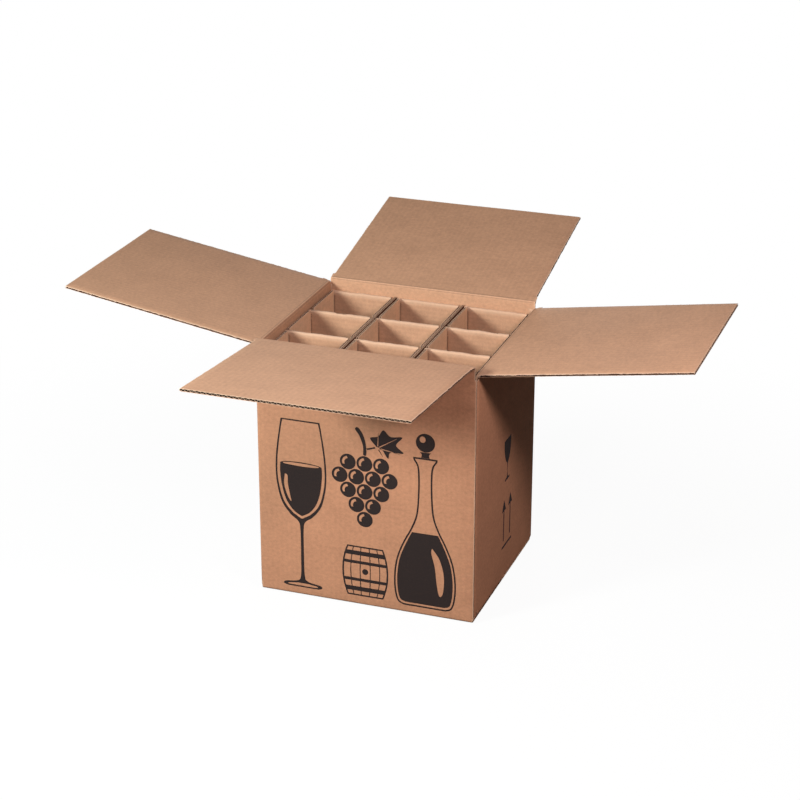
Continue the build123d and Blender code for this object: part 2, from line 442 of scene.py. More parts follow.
# The bottom flaps fold in from the feet of the walls, left and right first. The
# free edges of the front and back ones meet under the carton.
bottom_level = {"front": 0.0, "back": 0.0, "left": BOARD + LAYER_GAP, "right": BOARD + LAYER_GAP}
bottom_reach = {"front": (DEPTH - SEAM) / 2 + SEAM_BEHIND, "back": (DEPTH - SEAM) / 2 - SEAM_BEHIND,
                "left": (WIDTH - INNER_GAP) / 2, "right": (WIDTH - INNER_GAP) / 2}
bottom_path = {
    side: folded((0, WALL_FOOT), (0, -1), [(WALL_FOOT - BOTTOM_FOLD - level,), (BOTTOM_FOLD, 90),
                                           (bottom_reach[side] - BOTTOM_FOLD,)])
    for side, level in bottom_level.items()}
bottom_bend = {side: level + BOTTOM_FOLD for side, level in bottom_level.items()}
bottom_edge = {side: WALL_FOOT - path.length for side, path in bottom_path.items()}


def on_walls(u, v, z):
    """Folds the sheet's point, u along the walls and v up them, into the carton."""
    point, outward = wall_path(u)
    if u > lap_start:
        z = z * (1 + (LAP_PRESS - 1) * min(1.0, (u - lap_start) / LAP_EASE))
    z = (z + BOARD / 2) * (1 - END_PRESS * max(0.0, 1 - u / END_EASE)) - BOARD / 2
    side = min(wall_middle, key=lambda name: abs(u - wall_middle[name]) - half_side[name])
    off = u - wall_middle[side]
    straight = half_side[side] - WALL_FOLD
    swell = 0.0
    if abs(off) < straight and v > WALL_FOOT:
        height = min(1.0, (v - WALL_FOOT) / (crease_height[side] - WALL_FOOT))
        swell = WALL_SWELL * math.sin(math.pi * height) * math.cos(math.pi / 2 * off / straight) ** 2
    if v >= bottom_bend[side]:
        point = point + outward * (z + swell)
        return -point.x, point.y, v
    middle, facing = wall_path(wall_middle[side])
    along = Vector((-facing.y, facing.x))
    turned, under = bottom_path[side](WALL_FOOT - v)
    share = min(1.0, (bottom_bend[side] - v) / 6)
    edge = point.lerp(middle + along * off, share) - facing * (turned.x + under.x * z)
    return -edge.x, edge.y, turned.y + under.y * z


def head_reach(side):
    """Half the length of a wall's crease, along the sheet."""
    if side in ("front", "back"):
        past = WALL_FOLD - FLAP_INSET + ROOT_FLARE
        return WIDTH / 2 - WALL_FOLD + WALL_FOLD * math.asin(past / WALL_FOLD)
    return DEPTH / 2 - FLAP_INSET


def wall_outline(drop):
    """The outline of the whole sheet but its top flaps, with the walls' heads lower by drop."""
    corners, teeth = [], []
    for side, middle in wall_middle.items():
        half, bend, edge = half_side[side] - BOTTOM_SLOT, bottom_bend[side], bottom_edge[side]
        left, right = middle - half, middle + half
        corners += [(left, bend), (left, edge), (right, edge), (right, bend)]
        teeth += [SLOT_CUT, FREE_CUT, SLOT_CUT, FOLD_CUT]
    corners += [(wall_path.length, WALL_FOOT), (wall_path.length, LAP_TOP), (lap_start + 1, LAP_TOP + 4)]
    teeth += [BLADE_CUT] * 3
    for side, *beside in (("right", "front", "back"), ("back", "right", "left"),
                          ("left", "back", "front"), ("front", "left", "right")):
        middle, reach, top = wall_middle[side], head_reach(side), crease_height[side] - drop
        after = lap_start - FOLD_RUN if side == "right" else middle + reach
        slots = [min(crease_height[side], crease_height[other]) - SLOT_DEPTH for other in beside]
        corners += [(after, slots[0]), (after, top), (middle - reach, top), (middle - reach, slots[1])]
        teeth += [HEAD_CUT, None, HEAD_CUT, HEAD_CUT]
    corners += [(0, slots[1]), (0, bottom_bend["front"])]
    teeth += [HEAD_CUT, FOLD_CUT]
    return corners, teeth


def bottom_rows(side):
    """The heights at which a bottom flap bends."""
    return [bottom_bend[side] - BOTTOM_FOLD * math.pi / 12 * i for i in range(7)]


def wall_lattice():
    """Points inside the sheet, closer together where it bends."""
    lattice = []
    for side, middle in wall_middle.items():
        straight = half_side[side] - WALL_FOLD
        fold_start = lap_start - FOLD_RUN if side == "right" else middle + straight
        columns = [middle + straight * i / 8 for i in range(-8, 8)]
        columns += [fold_start + FOLD_RUN * i / 6 for i in range(7)]
        lattice += [(u, WALL_FOOT + 12 + 24 * i) for u in columns for i in range(14)]
        rows = [WALL_FOOT] + bottom_rows(side)
        beyond = [rows[-1] - 3 - 24 * i for i in range(6)]
        rows += [row for row in beyond if row > bottom_edge[side] + 4]
        columns = [middle + straight * i / 8 for i in range(-8, 9)]
        columns += [middle + end * (half_side[side] - BOTTOM_SLOT - 2.2) for end in (-1, 1)]
        lattice += [(u, v) for u in columns for v in rows]
    return [(u, v) for u, v in lattice if 2 < u < wall_path.length - 2]


carton = Papers()
lattice = wall_lattice()
for low, high, kind, drop, shift in ((-FLAT_PAPER, 0.0, OUTER, 0.0, 11.0),
                                     (-BOARD, FLAT_PAPER - BOARD, INNER, BOARD, 23.0)):
    rim, inside = cut_outline(*wall_outline(drop), shift)
    flat_paper(carton, rim, inside + lattice, low, high, on_walls, kind, shift)


def wall_ends(u):
    """Where the waved paper starts and stops in the walls."""
    if u > lap_start - 1:
        return WALL_FOOT, LAP_TOP
    for side, middle in wall_middle.items():
        if abs(u - middle) < head_reach(side) and u < lap_start - FOLD_RUN:
            return WALL_FOOT, crease_height[side] - BOARD / 2
    return WALL_FOOT, min(crease_height.values()) - SLOT_DEPTH


waved_paper(carton, carton_board, 0.4, wall_path.length - 0.6, wall_ends, on_walls, 31.0,
            [60, 120, 180, 240, 300], 6)
for side, middle in wall_middle.items():
    half = half_side[side] - BOTTOM_SLOT - 0.6

    def bottom_ends(u):
        return bottom_edge[side] + 0.3, WALL_FOOT

    waved_paper(carton, carton_board, middle - half, middle + half, bottom_ends, on_walls, 37.0,
                bottom_rows(side)[::-1], 6)

carton_sheet = make_piece("carton_sheet", carton, carton_paints)
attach(carton_sheet, "carton")
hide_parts("carton")

# Print on the walls
# The box is printed in one dark ink, pressed straight onto the brown paper: a
# glass, grapes over a small barrel and a stoppered carafe on the front wall, and
# on the right wall a glass and two arrows that show which way up the box stands.
INK_PROUD = 0.12
INK_SUNK = 0.2
INK_LINE = 2.3
INK_TONE = (0.014, 0.010, 0.011, 1.0)
INK_GRID = (11.3, 12.7)


def printing_ink():
    """Thin dark ink, through which some of the paper's fibres still show."""
    paint = bpy.data.materials.new("printing_ink")
    paint.use_nodes = True
    tree = paint.node_tree
    shader = tree.nodes["Principled BSDF"]
    paper = add_node(tree, "ShaderNodeGroup", node_tree=brown_paper)
    for socket, value in (("Tone", (*OUTER_TONE, 1.0)), ("Clouds", 0.28),
                          ("Fibres", 0.42), ("Pitch", FLUTE * MM)):
        paper.inputs[socket].default_value = value
    spot = add_node(tree, "ShaderNodeAttribute", attribute_name="board_spot").outputs["Vector"]
    misses = add_node(tree, "ShaderNodeTexNoise", [("Vector", spot), ("Scale", 900.0), ("Detail", 3.0)])
    cover = add_node(tree, "ShaderNodeMapRange",
                     [("Value", misses.outputs["Fac"]), ("From Min", 0.25), ("From Max", 0.45),
                      ("To Min", 0.92), ("To Max", 0.985)])
    inked = add_node(tree, "ShaderNodeMix", [(0, cover.outputs[0]), (6, paper.outputs["Color"]),
                                             (7, INK_TONE)], data_type="RGBA")
    tree.links.new(inked.outputs[2], shader.inputs["Base Color"])
    tree.links.new(paper.outputs["Roughness"], shader.inputs["Roughness"])
    shader.inputs["Specular IOR Level"].default_value = 0.25
    return paint


def smooth_line(points, per=6):
    """A curve through the points."""
    curve, last = [], len(points) - 1
    for i in range(last):
        a, b, c, d = (Vector(points[min(max(i + k, 0), last)]) for k in (-1, 0, 1, 2))
        for k in range(per):
            t = k / per
            bend = (2 * a - 5 * b + 4 * c - d) * t * t + (3 * b - a - 3 * c + d) * t ** 3
            curve.append(0.5 * (2 * b + (c - a) * t + bend))
    return curve + [Vector(points[last])]


def closed_line(points, per=6):
    """A closed curve that starts and ends at the first point."""
    return smooth_line(points + points[:1], per)[:-1]


def turned(x, profile, per=6):
    """An outline alike on both sides of x, from its half widths and heights."""
    right = smooth_line(profile, per)
    return [Vector((x + p.x, p.y)) for p in right] + [Vector((x - p.x, p.y)) for p in reversed(right)]


def oval(x, y, across, up, count=28):
    """An oval's outline round x, y."""
    angles = [math.tau * i / count for i in range(count)]
    return [Vector((x + across * math.cos(angle), y + up * math.sin(angle))) for angle in angles]


def shrunk(outline, inward):
    """The outline moved in by a distance, for a line's inner side."""
    sign = math.copysign(1.0, sum(a.cross(b) for a, b in zip(outline, outline[1:] + outline[:1])))
    result = []
    for i, point in enumerate(outline):
        first = (point - outline[i - 1]).normalized()
        second = (outline[(i + 1) % len(outline)] - point).normalized()
        away = Vector((-first.y - second.y, first.x + second.x)).normalized()
        result.append(point + away * sign * inward / max(0.5, away.dot(Vector((-first.y, first.x)))))
    return result


def stroke(start, end, wide, tip):
    """A straight line's outline, from its width at the start to that at its tip."""
    start, end = Vector(start), Vector(end)
    side = Vector((start.y - end.y, end.x - start.x)).normalized() / 2
    return [start + side * wide, end + side * tip, end - side * tip, start - side * wide]


def stamp(wall, *outlines):
    """Prints a shape on a wall. Ink fills it, and each outline inside it turns ink to paper or back."""
    rim, loops = [], []
    for outline in outlines:
        line = [Vector((wall_middle[wall] - p[0], p[1])) for p in outline]
        if sum(p.cross(q) for p, q in zip(line, line[1:] + line[:1])) < 0:
            line.reverse()
        loops.append(list(range(len(rim), len(rim) + len(line))))
        rim += [(p.x, p.y, 0.0) for p in line]
    low, high = [[pick(p[k] for p in rim) for k in (0, 1)] for pick in (min, max)]
    counts = [int((high[k] - low[k]) / INK_GRID[k]) for k in (0, 1)]
    grid = [(low[0] + INK_GRID[0] * i, low[1] + INK_GRID[1] * j)
            for i in range(1, counts[0] + 1) for j in range(1, counts[1] + 1)]
    flat_paper(inks[wall], rim, grid, -INK_SUNK, INK_PROUD, on_walls, OUTER, 140.0, loops, hidden=OUTER)


inks = {"front": Papers(), "right": Papers()}

# The glass, with its empty part, the wine and its ring, and two shines
GLASS = -92
wine_top = [Vector((GLASS + 30.2 * math.cos(math.pi * i / 12), 198 + 4.2 * math.sin(math.pi * i / 12)))
            for i in range(13)]
wine = turned(GLASS, [(1, 122), (12, 129), (22, 143), (28, 163), (30.6, 185), (30.3, 197)])
bowl_shine = ((-24, 182), (-25, 166), (-20, 149), (-15, 142), (-17, 153), (-19.5, 167), (-20, 180))
stamp("front",
      turned(GLASS, [(22, 12.5), (28, 14.5), (26, 18.5), (8, 22), (2.9, 30), (2.2, 60), (2.4, 100), (5, 113),
                     (16, 122), (28, 138), (34.5, 160), (37, 185), (35.5, 215), (30.5, 250), (28, 264)]),
      turned(GLASS, [(0.8, 118), (14, 126.5), (25.5, 141), (32, 162), (34.6, 185), (33.1, 215),
                     (28.3, 250), (25.8, 262)]),
      wine[:len(wine) // 2] + wine_top + wine[len(wine) // 2:],
      oval(GLASS, 198.4, 26.5, 2.2),
      closed_line([(GLASS + x, y) for x, y in bowl_shine]),
      turned(GLASS, [(17, 14.6), (22, 15.2), (20, 16.8), (6, 18.6)]))

# The grapes in five rows, each with a shine, and their stem
GRAPE, GRAPE_PITCH = 11.4, 23.8
for row, count in enumerate((3, 4, 3, 2, 1)):
    for k in range(count):
        x, y = (k - (count - 1) / 2) * GRAPE_PITCH, 214 - 20.6 * row
        sweep = [math.radians(angle) for angle in range(100, 216, 12)]
        shine = [(x + 8.2 * math.cos(angle), y + 8.2 * math.sin(angle)) for angle in sweep]
        shine += [(x + 1 + 6 * math.cos(angle), y - 1 + 6 * math.sin(angle)) for angle in reversed(sweep)]
        stamp("front", oval(x, y, GRAPE, GRAPE), shine)
stamp("front", closed_line([(-1.8, 227), (-2, 240), (-7, 254), (-13, 263), (-9, 266), (-2, 257),
                            (2.4, 242), (2.6, 227)]))

# The leaf, from the angle and reach of its lobes and its veins, and its stalk
LEAF = Vector((28, 245))
leaf_lobes = ((-160, 10), (-110, 7), (-75, 19), (-48, 12), (-18, 25), (10, 15), (34, 27), (60, 16),
              (92, 22), (122, 14), (155, 19))
leaf_veins = ((-62, 13), (-10, 28), (36, 29), (88, 22))


def on_leaf(angle, reach):
    """The point at an angle and a reach from the leaf's middle."""
    return Vector((1.15 * reach * math.cos(math.radians(angle)), reach * math.sin(math.radians(angle))))


base = LEAF + Vector((-9, -5))
veins = [base + on_leaf(*vein) for vein in leaf_veins]
stamp("front", closed_line([LEAF + on_leaf(*lobe) for lobe in leaf_lobes]),
      *(stroke(base + (vein - base).normalized() * 2.5, vein, 1.5, 0.4) for vein in veins))
stamp("front", stroke((3.5, 236), (15.5, 240), 2.6, 2.0))

# The barrel's foot and top, half its width there and at its belly
BARREL = (14.0, 90.0, 26.0, 33.5)


def barrel_half(y):
    """Half the barrel's width at a height."""
    low, high, end, belly = BARREL
    return belly - (belly - end) * ((2 * y - low - high) / (high - low)) ** 2


heights = [BARREL[0] + (BARREL[1] - BARREL[0]) * i / 12 for i in range(13)]
barrel = [(barrel_half(y), y) for y in heights] + [(-barrel_half(y), y) for y in reversed(heights)]
staves = []
for low, high in ((16.2, 21.5), (28, 36.5), (41, 63), (67.5, 76), (82.5, 87.8)):
    for left, right in ((-1, -0.63), (-0.63, -0.22), (-0.22, 0.22), (0.22, 0.63), (0.63, 1)):
        levels = [low, (low + high) / 2, high]
        left_gap, right_gap = (INK_LINE if abs(share) == 1 else 0.6 for share in (left, right))
        staves.append([(barrel_half(y) * left + left_gap, y) for y in levels] +
                      [(barrel_half(y) * right - right_gap, y) for y in reversed(levels)])
stamp("front", barrel, *staves, oval(0, 52, 4.4, 4.4))

# The carafe in outline, the drink in it with a shine, its neck's ring and its stopper
CARAFE = 86
carafe = turned(CARAFE, [(30, 12), (39, 17), (43.5, 34), (44, 58), (40, 84), (31, 108), (20, 130),
                         (13, 150), (10.5, 175), (10, 205), (11.5, 222), (16.5, 231), (17, 235)])
belly_shine = ((10, 104), (21, 88), (27, 64), (26, 40), (21, 33), (17, 50), (14, 76), (9, 96))
stamp("front", carafe, shrunk(carafe, INK_LINE),
      turned(CARAFE, [(28, 17), (35.5, 21), (39, 36), (39.5, 58), (36, 82), (27.5, 105), (18.5, 124)]),
      closed_line([(CARAFE + x, y) for x, y in belly_shine]))
stamp("front", turned(CARAFE, [(6, 235.2), (5.2, 240), (8, 243.3)]))
stamp("front", oval(CARAFE, 257, 13.4, 13.4, 36), oval(CARAFE - 4, 261.5, 4.2, 4.6, 16))

# The signs on the right wall
stamp("right", turned(5, [(10, 154), (10, 156.5), (1.6, 160), (1.5, 178), (8, 185), (14.5, 200),
                          (15.5, 216)]))
for x in (-7, 22):
    stamp("right", [(x - 1.8, 64), (x + 1.8, 64), (x + 1.8, 111), (x + 9, 110), (x, 127), (x - 9, 110),
                    (x - 1.8, 111)])
stamp("right", [(-14, 53), (30, 53), (30, 56.5), (-14, 56.5)])

ink_paint = printing_ink()
for wall, name in (("front", "front_print"), ("right", "side_print")):
    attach(make_piece(name, inks[wall], [ink_paint]), "carton")

# Top flaps
# Each goes on from its wall beyond the crease, and its flutes run out to the
# free edge, where they are open. The long sides were cut by a toothed slotting
# knife, so they are ragged.
FLAP_LENGTH = {"front": 243.0, "back": 243.0, "left": 285.0, "right": 285.0}
CREASE_GAP = 0.8
FLARE_LENGTH = 11.0
ROOT_ROUND = 6.0
ROOT_STEPS = 5
ROOT_CORNER = 3.0
ROOT_LIFT = 0.7
ROOT_CUT = 0.5
ROUND_CUT = 0.02
END_CUT = 0.12
SAW_TEETH = 0.9
OUTER_PALENESS = 0.45
WARP = 1.6
PINCH_WIDTH = 2.8
PINCH = 0.75
FLAP_ROWS = 11
flap_half = {side: half - FLAP_INSET for side, half in half_side.items()}


def hinge_line(side):
    """A flap's hinge: a point on it, the turn that lays +X along it, and how far it stands open."""
    joint = hinges[side]
    heading = Matrix.Rotation(math.atan2(joint["axis"][1], joint["axis"][0]), 3, "Z")
    return Vector(joint["pos_m"]) / MM, heading, math.radians(-joint["range_deg"][0])


def flap_place(side):
    """Carries a flap's own millimetres to where it lies in the open box."""
    hinge, heading, opened = hinge_line(side)
    turn = heading @ Matrix.Rotation(opened, 3, "X")

    def place(u, v, z):
        closed = hinge + heading @ Vector((u, v, 0))
        window = math.cos(math.pi * closed.x / WIDTH) * math.cos(math.pi * closed.y / DEPTH)
        rise = 0.35 + noise.noise(Vector((closed.x * 0.009, closed.y * 0.009, 2.0)))
        warp = WARP * max(0.0, rise) * max(0.0, window)
        near = max(0.0, 1 - (flap_half[side] - abs(u)) / PINCH_WIDTH) * min(1.0, max(0.0, (v - 3) / 5))
        press = PINCH * min(1.0, 0.75 + 0.6 * noise.noise(Vector((v * 0.35, u, 4.0))))
        z = (z + BOARD / 2) * (1 - press * min(1.0, near) ** 1.5) - BOARD / 2
        return hinge + turn @ Vector((u, v, z + warp))

    return place


def flap_outline(side, root):
    """A flap's outline from the height root beside its crease: corners, and the depth of the tears."""
    half, end = flap_half[side], FLAP_LENGTH[side]
    if side in ("front", "back"):
        wide = half + ROOT_FLARE * (1 - root / FLARE_LENGTH)
        right = [(wide - ROOT_CORNER, root), (wide, root + ROOT_LIFT), (half, FLARE_LENGTH), (half, end)]
        corners = right + [(-u, v) for u, v in reversed(right)]
        return corners, [None, ROOT_CUT, SAW_TEETH, END_CUT, SAW_TEETH, ROOT_CUT, None, None]
    first = math.asin(1 - root / ROOT_ROUND)
    angles = [first * (1 - i / ROOT_STEPS) for i in range(ROOT_STEPS + 1)]
    arc = [(half - ROOT_ROUND + ROOT_ROUND * math.cos(angle), ROOT_ROUND - ROOT_ROUND * math.sin(angle))
           for angle in angles]
    mirrored = [(-u, v) for u, v in arc]
    corners = mirrored[:1] + arc + [(half, end), (-half, end)] + mirrored[:0:-1]
    teeth = [None] + [ROUND_CUT] * ROOT_STEPS + [SAW_TEETH, END_CUT, SAW_TEETH]
    return corners, teeth + [ROUND_CUT] * (len(corners) - len(teeth))


for number, side in enumerate(FLAP_LENGTH):
    flap, place = Papers(), flap_place(side)
    half, length = flap_half[side], FLAP_LENGTH[side]
    for low, high, root, kind, pale in (
            (-FLAT_PAPER, 0.0, CREASE_GAP, OUTER, OUTER_PALENESS),
            (-BOARD, FLAT_PAPER - BOARD, CREASE_GAP + BOARD, INNER, 1.0)):
        shift = 60.0 + 7.3 * number + kind
        rim, inside = cut_outline(*flap_outline(side, root), shift)
        inside += [(half * i / FLAP_ROWS, length * j / FLAP_ROWS)
                   for i in range(1 - FLAP_ROWS, FLAP_ROWS) for j in range(1, FLAP_ROWS)]
        # Both papers' faces towards the waved paper take its dark paint: painted shade inside the open
        # flutes.
        flat_paper(flap, rim, inside, low, high, place, kind, shift, hidden=WAVED, pale=pale)

    def flap_ends(u):
        return (ROOT_ROUND if half - abs(u) < ROOT_ROUND else BOARD), length

    stops = [length * j / FLAP_ROWS for j in range(1, FLAP_ROWS)]
    waved_paper(flap, carton_board, 0.5 - half, half - 0.7, flap_ends, place, 90.0 + number, stops)
    board_flap = make_piece(side + "_flap_board", flap, carton_paints)
    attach(board_flap, side + "_flap")
    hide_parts(side + "_flap")

# Creases
# The board is pressed flat along each fold, so its inner paper rolls over from
# the wall to the flap. It is built bent between the two, as far as the flap stands open.
CREASE_RADIUS = BOARD + 0.05
CREASE_SKIN = 0.5
CREASE_STEPS = 14
CREASE_START = 4.6
WALL_HOLD = 8.0
FLAP_HOLD = 9.0
RIDGE_HEIGHT = 0.42
GROOVE_DEPTH = 0.38
ROLL_STEP = 2.5
ROLL_END = 7.0
END_THINNING = 0.85
END_PALENESS = 0.6


def swelling(share, middle, wide):
    """A soft ridge round the middle of its width, 1 at its top."""
    return math.exp(-((share - middle) / wide) ** 2)


def crease_skin(along_flap, flap_up, lean):
    """A roll's outer and inner points from the wall to the flap, and its painted highlight (above nought) and
    painted shade (below nought) at each.
    """
    skin, ridge_highlight_groove_shade = [], [0.0, 0.0]
    for hold, proud in ((WALL_HOLD, 0.01), (CREASE_START, 0.05)):
        skin.append((Vector((BOARD + proud, -hold)), Vector((BOARD - CREASE_SKIN, -hold))))
    for i in range(CREASE_STEPS + 1):
        last = math.pi / 2 + lean
        angle = last * i / CREASE_STEPS
        way = Vector((math.cos(angle), math.sin(angle)))
        ridge = swelling(angle / last, 0.52, 0.10)
        groove = swelling(angle / last, 0.25, 0.09) + swelling(angle / last, 0.8, 0.09)
        skin.append((way * (CREASE_RADIUS + RIDGE_HEIGHT * ridge - GROOVE_DEPTH * groove), way * 0.3))
        # Painted highlight along the ridge, painted shade in the two grooves beside it
        ridge_highlight_groove_shade.append(0.22 * ridge - 0.3 * groove)
    for hold, proud in ((CREASE_START, 0.05), (FLAP_HOLD, 0.01)):
        skin.append(tuple(along_flap * hold + flap_up * (BOARD + rise) for rise in (proud, -CREASE_SKIN)))
    return skin, ridge_highlight_groove_shade


for number, side in enumerate(FLAP_LENGTH):
    hinge, turn, opened = hinge_line(side)
    lean = math.pi - opened
    half = flap_half[side] + (ROOT_FLARE if side in ("front", "back") else 0.0)
    along_flap = Vector((-math.cos(lean), math.sin(lean)))
    flap_up = Vector((math.sin(lean), math.cos(lean)))
    skin, ridge_highlight_groove_shade = crease_skin(along_flap, flap_up, lean)
    section = [outer for outer, _ in skin] + [inner for _, inner in reversed(skin)]
    wide = len(section)
    ridge_highlight_groove_shade += [0.0] * (wide - len(ridge_highlight_groove_shade))
    runs = [0.0]
    for a, b in zip(section, section[1:]):
        runs.append(runs[-1] + (b - a).length)
    count = round(2 * half / ROLL_STEP)
    points, spots, edges = [], [], []
    for k in range(count + 1):
        u = -half + 2 * half * k / count
        for i, (y, z) in enumerate(section):
            soft = 0.0
            if 2 < i < len(skin) - 2:
                soft = 0.10 * noise.noise(Vector((u * 0.12, i * 0.35, number * 5.0)))
            if 1 < i < len(skin) - 2:
                soft -= END_THINNING * max(0.0, 1 - (half - abs(u)) / ROLL_END)
            swell = 1 + soft / max(math.hypot(y, z), 1)
            points.append(hinge + turn @ Vector((u, y * swell, z * swell)))
            spots.append((u, runs[i], 130.0 + number))
        edges += [END_PALENESS] * wide if k in (0, count) else ridge_highlight_groove_shade
    faces = [[k * wide + i, k * wide + (i + 1) % wide, (k + 1) * wide + (i + 1) % wide, (k + 1) * wide + i]
             for k in range(count) for i in range(wide)]
    ends = [[j, j + 1, wide - 2 - j, wide - 1 - j] for j in range(len(skin) - 1)]
    faces += ends + [[count * wide + i for i in face] for face in ends]
    crease = Papers()
    crease.add(points, faces, [0] * len(faces), spots, edges)
    roll = make_piece(side + "_crease", crease, [inner_brown])
    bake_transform(roll)

# Bottle inserts
# Three strips of the same kind of board stand side by side. Each is folded up
# and down into double dividers and glued to its sides, which makes a row of
# three cells. The flutes run across the strip and up its sides.
INSERT_BOARD = 3.0
INSERT_PAPER = 0.4
INSERT_WAVED = 0.3
INSERT_FLUTE = 6.5
INSERT_HEIGHT = 344.8
SIDE_SLACK = 1.5
FRONT_SLACK = 3.1
BACK_SLACK = 0.5
COLUMN_GAP = 1.8
DIVIDER = 6.6
CELL_FOLD = 3.4
PANEL_GAP = 0.5
FREE_END = 1.5
CORNER_GAP = 0.7
DOUBLE_TOP = INSERT_HEIGHT - 1.0
NOTCH = (3.0, 5.0)
CELL_INSET = (2.4, 1.0, 2.4)
INSERT_CUT_STEP = 1.6
SIDE_HEAD_CUT = 0.22
SOFT_TOP = 26.0
TOP_SAG = 1.2
TOP_SQUASH = 0.93
TOP_PALENESS = 0.75
# How dark the painted shade is in each divider's corner with the cell's side
CORNER_PAINTED_SHADE = 0.5
INSERT_WIDTH = (WIDTH - 2 * BOARD - 2 * SIDE_SLACK - 2 * COLUMN_GAP) / 3
INSERT_DEPTH = DEPTH - 2 * BOARD - FRONT_SLACK - BACK_SLACK
INSERT_FRONT = BOARD + FRONT_SLACK - DEPTH / 2
CELL_DEPTH = (INSERT_DEPTH - 4 * DIVIDER) / 3

insert_board = (INSERT_BOARD, INSERT_PAPER, INSERT_WAVED, INSERT_FLUTE)
insert_layers = ((-INSERT_PAPER, 0.0, OUTER), (-INSERT_BOARD, INSERT_PAPER - INSERT_BOARD, INNER))
insert_brown = paper_paint("insert_brown", (0.484, 0.273, 0.164), clouds=0.24, fibres=0.34, flutes=0.06,
                           pale_edge=0.70, pitch=INSERT_FLUTE * MM)
# The cells' side and floor faces take a paler copy of the insert's paper: painted light, so that the cells'
# sides look lighter than the dividers' faces.
cell_brown = paper_paint("cell_brown", (0.70, 0.44, 0.275), clouds=0.24, fibres=0.34, flutes=0.06,
                         pale_edge=0.70, pitch=INSERT_FLUTE * MM)
# The waved paper's paint is far darker than the paper: painted shade inside the flutes and, on the right
# sides' outsides, in the gaps between the inserts.
insert_waved = paper_paint("insert_waved", (0.11, 0.046, 0.029), clouds=0.25, fibres=0.45, flutes=0.0,
                           pale_edge=0.45, sheen=0.03)
insert_paints = [insert_brown, cell_brown, insert_waved]


def board_panel(papers, corners, place, shift, teeth, stops=(), lattice=(), outside=None):
    """A panel of the inserts' board, from an outline whose second edge runs up the flutes."""
    for low, high, kind in insert_layers:
        rim, inside = cut_outline(corners, teeth, shift + kind, INSERT_CUT_STEP)
        shown = outside if kind == OUTER else None
        flat_paper(papers, rim, inside + list(lattice), low, high, place, kind, shift + kind, shown=shown)
    waved_paper(papers, insert_board, corners[0][0] + 0.3, corners[1][0] - 0.3,
                lambda u: (corners[0][1], corners[2][1]), place, shift, stops, 6)


def add_right_side(insert, index, left):
    """The board that runs along the right of all three cells, beside their own sides."""
    right = left + INSERT_WIDTH

    def place(u, v, z):
        lean = 0.5 * noise.noise(Vector((u * 0.02, v * 0.01, index))) * v / INSERT_HEIGHT
        return right + z + min(0.0, lean), INSERT_FRONT + u, CARTON_FLOOR + v

    corners = [(0, CELL_FOLD), (INSERT_DEPTH, CELL_FOLD), (INSERT_DEPTH, DOUBLE_TOP), (0, DOUBLE_TOP)]
    # Its outside, across the narrow gap from the next insert or the carton's wall, takes the waved paper's
    # dark paint: painted shade in that gap.
    board_panel(insert, corners, place, 200.0 + index, [BLADE_CUT, BLADE_CUT, 0.0, BLADE_CUT],
                outside=WAVED)


def add_cell(insert, index, left, cell):
    """A cell's left side, floor and right side, folded from one strip."""
    near = DIVIDER + cell * (CELL_DEPTH + DIVIDER)
    far = near + CELL_DEPTH
    inset = CELL_INSET[cell]
    across = INSERT_WIDTH - INSERT_BOARD - inset
    bent = CELL_FOLD * math.pi / 2
    shell = folded((left + inset, CARTON_FLOOR + INSERT_HEIGHT), (0, -1),
                   [(INSERT_HEIGHT - CELL_FOLD,), (CELL_FOLD, 90), (across - 2 * CELL_FOLD,),
                    (CELL_FOLD, 90), (DOUBLE_TOP - CELL_FOLD,)])

    def place(u, v, z):
        point, outward = shell(v)
        point = point + outward * z
        return point.x, INSERT_FRONT + u, point.y

    corners = [(near + PANEL_GAP, 0), (far - CORNER_GAP, 0),
               (far - CORNER_GAP, shell.length), (near + PANEL_GAP, shell.length)]
    bends = [INSERT_HEIGHT - CELL_FOLD + bent * i / 4 for i in range(5)]
    bends += [v + across - 2 * CELL_FOLD + bent for v in bends]
    rows = bends + [60, 120, 180, 240, 300]
    lattice = [(near + CELL_DEPTH * i / 4, v) for i in range(1, 4) for v in rows]
    board_panel(insert, corners, place, 210.0 + 10 * index + 3 * cell,
                [SIDE_HEAD_CUT, BLADE_CUT, 0.0, BLADE_CUT], [120, 240] + bends, lattice)


